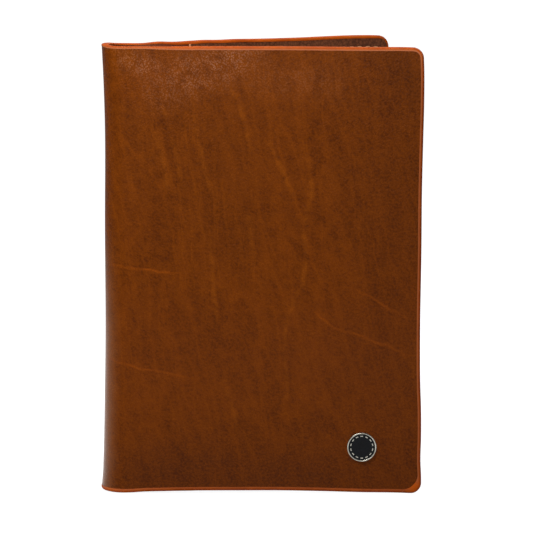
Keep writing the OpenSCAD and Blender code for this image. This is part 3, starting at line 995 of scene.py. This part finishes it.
def mouth_lean(s, z):
    """The mouth's upper end was cut a little nearer to the spine."""
    return mouth_slant * ease((z - 150 * mm) / (70 * mm)) * ease(1 - (s - mouth_at) / (40 * mm))


def pocket_lift(s, z):
    """How far the sleeve stands off the lining: nothing under the seam, the pocket's gap in the middle."""
    from_edge = np.minimum(ply_end - s, np.minimum(z - ply_low, ply_high - z))
    return sleeve_gap * ease((from_edge - hem_width + 1.5 * mm) / (3 * mm))


mouth_paint_width = 0.6 * mm
sleeve_start = mouth_at + mouth_paint_width
sleeve_flat = cut_sheet("sleeve_sheet", sleeve_start, ply_end, ply_low, ply_high, turn_radius)
hem_steps = np.arange(5.5, 10.5, 0.5) * mm
pocket_rows = [*height_rows, *hem_steps, *(cover_height - hem_steps)]
slice_mesh(sleeve_flat, [*side_columns[side_columns > sleeve_start], *(half_width - hem_steps)], pocket_rows)
for vertex in sleeve_flat.data.vertices:
    vertex.co.y = stack + pocket_lift(vertex.co.x, vertex.co.z)
    vertex.co.x -= mouth_lean(vertex.co.x, vertex.co.z)
add_thickness(sleeve_flat, sleeve_thick)
for side in sides:
    sleeve = lay_on(sleeve_flat, side, f"{side}_pocket_sleeve", sleeve_leather)
    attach(sleeve, f"{side}_cover")
    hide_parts(f"{side}_sleeve", f"{side}_sleeve_hem")
bpy.data.objects.remove(sleeve_flat)

# %% [markdown]
# ## Mouth edge
#
# The open edge of each sleeve is painted in tan, made pale as a painted highlight along that edge. It is a
# half-round strip along the sleeve's end, from the cover's bottom edge to its top, and it rises over the
# pocket with the leather that it seals.

# %% Mouth paint with a painted highlight
mouth_paint_and_highlight, tree = new_material("mouth_edge_paint_and_highlight")
cut = cut_place(tree)
drift = drift_mask(tree, cut, 5.0, 4.0, 0.30, 0.70)
rub = drift_mask(tree, cut, 1.2, 4.0, 0.58, 0.76)
# Painted highlight: the tan is paler than the edge paint, in place of the light caught by the mouth's edge.
tan = stain(tree, two_tone(tree, drift, (196, 130, 86), (212, 150, 104)), [(rub, 0.5, (150, 94, 58))])
close_material(tree, tan, 0.45, drift, 0.5, 0.08 * mm, {"Specular IOR Level": 0.4})
print("mouth paint nodes:", len(tree.nodes))

# %% Mouth strips
mouth_overlap, mouth_proud, mouth_fullness = 0.15 * mm, 0.06 * mm, 0.7
mouth_outline = [
    (sleeve_start + mouth_overlap - (mouth_paint_width + mouth_overlap) * math.cos(a) ** mouth_fullness,
     stack + sleeve_thick / 2 + (sleeve_thick / 2 + mouth_proud) * math.sin(a), edge_depth)
    for a in np.linspace(-math.pi / 2, math.pi / 2, 9)
]
mouth = start_profile("mouth", mouth_outline)
bpy.ops.mesh.edge_face_add()
draw_out(0, 0, cover_height - 2 * edge_depth)
close_up()
slice_mesh(mouth, [], pocket_rows)
for vertex in mouth.data.vertices:
    vertex.co.y += pocket_lift(vertex.co.x, vertex.co.z)
    vertex.co.x -= mouth_lean(vertex.co.x, vertex.co.z)
for side in sides:
    strip = lay_on(mouth, side, f"{side}_mouth_strip", mouth_paint_and_highlight)
    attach(strip, f"{side}_cover")
    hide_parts(f"{side}_sleeve_edge")
bpy.data.objects.remove(mouth)
print("mouth strip faces:", len(strip.data.polygons))

# %% [markdown]
# ## Seams
#
# Each sleeve is sewn with a pale waxed thread, a stitch nearly every five millimetres. One stitch is
# modelled: a short strand whose ends dive into the leather. It is copied along three sides, slightly slanted
# as saddle stitches are, and the whole seam is rolled as one piece.

# %% Waxed thread
waxed_thread, tree = new_material("waxed_thread")
place = put(tree, "TexCoord").outputs["Object"]
tone = put(tree, "TexNoise", {"Vector": place, "Scale": 900.0, "Detail": 2.0}).outputs["Fac"]
twist = put(tree, "TexWave", {"Vector": place, "Scale": 900.0, "Distortion": 1.2},
            bands_direction="DIAGONAL").outputs["Fac"]
cream = stain(tree, two_tone(tree, tone, (184, 130, 88), (206, 154, 110)), [(twist, 0.3, (146, 96, 60))])
close_material(tree, cream, 0.6, twist, 0.5, 0.08 * mm, {"Specular IOR Level": 0.35})
print("thread nodes:", len(tree.nodes))

# %% One stitch
stitch_long = 3.5 * mm
stitch_pitch = 4.7 * mm
thread_thick = 0.62 * mm
stitch_dive = 0.30 * mm
bpy.ops.object.select_all(action="DESELECT")
bpy.ops.mesh.primitive_uv_sphere_add(segments=8, ring_count=8, radius=0.5, rotation=(0, math.pi / 2, 0))
stitch = bpy.context.object
stitch.scale = (thread_thick, thread_thick, stitch_long)
bpy.ops.object.transform_apply(location=True, rotation=True, scale=True)
for vertex in stitch.data.vertices:
    share = abs(vertex.co.x) / (stitch_long / 2)
    vertex.co.y = vertex.co.y * (1.15 - 0.3 * share) - stitch_dive * share ** 3
    vertex.co.z = vertex.co.z * (1.2 - 0.2 * share)
stitch_shape = np.array([v.co for v in stitch.data.vertices])
print("one stitch faces:", len(stitch.data.polygons))

# %% Seams on both sides
def seam_places():
    """Middles and headings of the stitches round three sides of the sleeve, on the flat cut."""
    inset, first = edge_depth + seam_inset, mouth_at + 1.2 * mm
    turns = [(first, inset), (half_width - inset, inset),
             (half_width - inset, cover_height - inset), (first, cover_height - inset)]
    for (s0, z0), (s1, z1) in zip(turns, turns[1:]):
        count = round(math.hypot(s1 - s0, z1 - z0) / stitch_pitch)
        for step in range(count):
            share = (step + 0.5) / count
            yield s0 + (s1 - s0) * share, z0 + (z1 - z0) * share, math.atan2(z1 - z0, s1 - s0)


slant = math.radians(7)
thread_height = stack + sleeve_thick + 0.08 * mm
copies = []
for s, z, heading in seam_places():
    copy = twin_of(stitch)
    along, up = math.cos(heading + slant), math.sin(heading + slant)
    for vertex, (a, b, c) in zip(copy.data.vertices, stitch_shape):
        vertex.co = (s + a * along - c * up, thread_height + b, z + a * up + c * along)
    copies.append(copy)
bpy.data.objects.remove(stitch)
bpy.ops.object.select_all(action="DESELECT")
for copy in copies:
    copy.select_set(True)
bpy.context.view_layer.objects.active = copies[0]
bpy.ops.object.join()
seam_flat = bpy.context.object
for side in sides:
    seam = lay_on(seam_flat, side, f"{side}_sleeve_seam", waxed_thread)
    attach(seam, f"{side}_cover")
print("stitches on each sleeve:", len(copies))
bpy.data.objects.remove(seam_flat)

# %% [markdown]
# ## Badge
#
# A small round badge of cast metal is clipped through the leather near the lower fore-edge: a rounded rim, a
# sunk floor with a ring of raised dashes, and black enamel poured round them. It is made from a disc by
# extruding and insetting, and a bevel rounds the rim as polishing does. The field is left plain.

# %% Badge finishes
def in_millimetres(tree):
    """Where a point lies on the object, in millimetres."""
    return vector_sums(tree, "SCALE", put(tree, "TexCoord").outputs["Object"], scale=1000.0)


def scratched_metal(name, dark, light, dull, bright):
    """A worn metal: fine scratches change its colour and gloss."""
    material, tree = new_material(name)
    place = in_millimetres(tree)
    wear = drift_mask(tree, place, 2.2, 5.0, 0.34, 0.68)
    hair = streak_mask(tree, place, 0.25, 6.0, 12.0)
    gloss = remap(tree, sums(tree, "MAXIMUM", hair, wear), 0.0, 1.0, bright, dull)
    close_material(tree, two_tone(tree, wear, dark, light), gloss, hair, 0.3, 0.02 * mm, {"Metallic": 1.0})
    return material


badge_metal = scratched_metal("polished_badge_metal", (142, 140, 130), (178, 174, 162), 0.30, 0.14)
clip_steel = scratched_metal("clip_steel", (150, 152, 154), (188, 190, 192), 0.45, 0.28)

black_enamel, tree = new_material("black_enamel")
place = in_millimetres(tree)
cloud = drift_mask(tree, place, 3.0, 3.0, 0.30, 0.70)
hair = streak_mask(tree, place, 0.3, 5.0, 14.0)
black = two_tone(tree, cloud, (7, 8, 10), (14, 16, 20))
gloss = remap(tree, sums(tree, "MAXIMUM", cloud, hair), 0.0, 1.0, 0.16, 0.30)
close_material(tree, black, gloss, cloud, 0.2, 0.04 * mm, {"Specular IOR Level": 0.10})
print("badge finishes:", badge_metal.name, clip_steel.name, black_enamel.name)

# %% Sizes and place of the badge
badge_radius, rim_width, badge_rise = 7.2 * mm, 0.72 * mm, 1.6 * mm
floor_rise, ring_middle, ring_width = 0.6 * mm, 5.45 * mm, 0.44 * mm
dash_count, steps_per_dash, steps_filled = 14, 8, 4
dash_proud, rim_rounding = 0.04 * mm, 0.30 * mm
enamel_rise = badge_rise - 0.25 * mm
badge_low, badge_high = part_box("badge_body")
badge_place = ((badge_low.x + badge_high.x) / 2, badge_high.y, (badge_low.z + badge_high.z) / 2)


def start_disc(name, radius, rise):
    """A round disc lying face up at a height, in edit mode with its face selected."""
    bpy.ops.object.select_all(action="DESELECT")
    bpy.ops.mesh.primitive_circle_add(
        vertices=dash_count * steps_per_dash, radius=radius, fill_type="NGON", location=(0, 0, rise))
    piece = bpy.context.object
    piece.name = name
    bpy.ops.object.transform_apply(location=True)
    bpy.ops.object.mode_set(mode="EDIT")
    bpy.ops.mesh.select_mode(type="FACE")
    bpy.ops.mesh.select_all(action="SELECT")
    return piece


def stand_badge(piece, material):
    """Turns a piece made face up to face out of the cover, at the badge's place."""
    bpy.ops.mesh.select_all(action="SELECT")
    bpy.ops.mesh.remove_doubles(threshold=1e-7)
    close_up()
    piece.rotation_euler = (math.pi / 2, 0, 0)
    piece.location = badge_place
    pick(piece)
    bpy.ops.object.transform_apply(location=True, rotation=True, scale=True)
    piece.data.materials.append(material)
    bpy.ops.object.shade_smooth_by_angle(angle=math.radians(35))
    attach(piece, "front_cover")


print("badge place in mm:", [round(c / mm, 1) for c in badge_place])

# %% Badge body
body = start_disc("badge_rim_and_floor", badge_radius, 0)
draw_out(0, 0, badge_rise)
bpy.ops.mesh.inset(thickness=rim_width)
draw_out(0, 0, floor_rise - badge_rise)
bpy.ops.mesh.inset(thickness=badge_radius - rim_width - ring_middle - ring_width / 2)
bpy.ops.mesh.inset(thickness=ring_width)
bpy.ops.mesh.select_all(action="DESELECT")
bpy.ops.object.mode_set(mode="OBJECT")
for face in body.data.polygons:
    centre = math.hypot(face.center.x, face.center.y)
    step = math.floor(math.atan2(face.center.x, face.center.y) / math.tau * dash_count * steps_per_dash)
    in_dash = (step + steps_filled // 2) % steps_per_dash < steps_filled
    face.select = in_dash and abs(face.center.z - floor_rise) < 1e-6 and abs(centre - ring_middle) < ring_width / 2
bpy.ops.object.mode_set(mode="EDIT")
draw_out(0, 0, enamel_rise + dash_proud - floor_rise)
bpy.ops.mesh.select_mode(type="EDGE")
bpy.ops.mesh.select_all(action="DESELECT")
bpy.ops.object.mode_set(mode="OBJECT")
print("badge faces before the bevel:", len(body.data.polygons))

# %% Rounded rim
for edge in body.data.edges:
    ends = [body.data.vertices[v].co for v in edge.vertices]
    rims = [math.hypot(e.x, e.y) for e in ends]
    edge.select = all(abs(e.z - badge_rise) < 1e-6 for e in ends) and abs(rims[0] - rims[1]) < 1e-6
bpy.ops.object.mode_set(mode="EDIT")
bpy.ops.mesh.bevel(offset=rim_rounding, segments=4, affect="EDGES")
stand_badge(body, badge_metal)
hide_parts("badge_body")
print("badge faces:", len(body.data.polygons))

# %% Poured enamel
enamel = start_disc("badge_enamel_field", badge_radius - rim_width, floor_rise)
draw_out(0, 0, enamel_rise - floor_rise)
for inset, sink in ((0.25, -0.030), (0.3, -0.012), (0.5, -0.003)):
    bpy.ops.mesh.inset(thickness=inset * mm)
    bpy.ops.transform.translate(value=(0, 0, sink * mm))
stand_badge(enamel, black_enamel)
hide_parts("badge_enamel")
print("enamel faces:", len(enamel.data.polygons))

# %% [markdown]
# ## Clips and sheets
#
# The badge's legs and the washer that they fold over lie hidden between leather and lining. Their shapes in
# the imported model are right, so they keep their meshes and only get the steel finish. Last, the leather,
# interlining and lining of each side are taken up together.

# %% Steel of the clips
for node in ("badge_prongs", "badge_washer"):
    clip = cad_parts[node]
    clip.data.materials.clear()
    clip.data.materials.append(clip_steel)
print("steel on badge_prongs and badge_washer")

# %% Sheets
for side in sides:
    leather, fibre, lined = (halves[side, ply] for ply in ("leather", "interlining", "lining"))
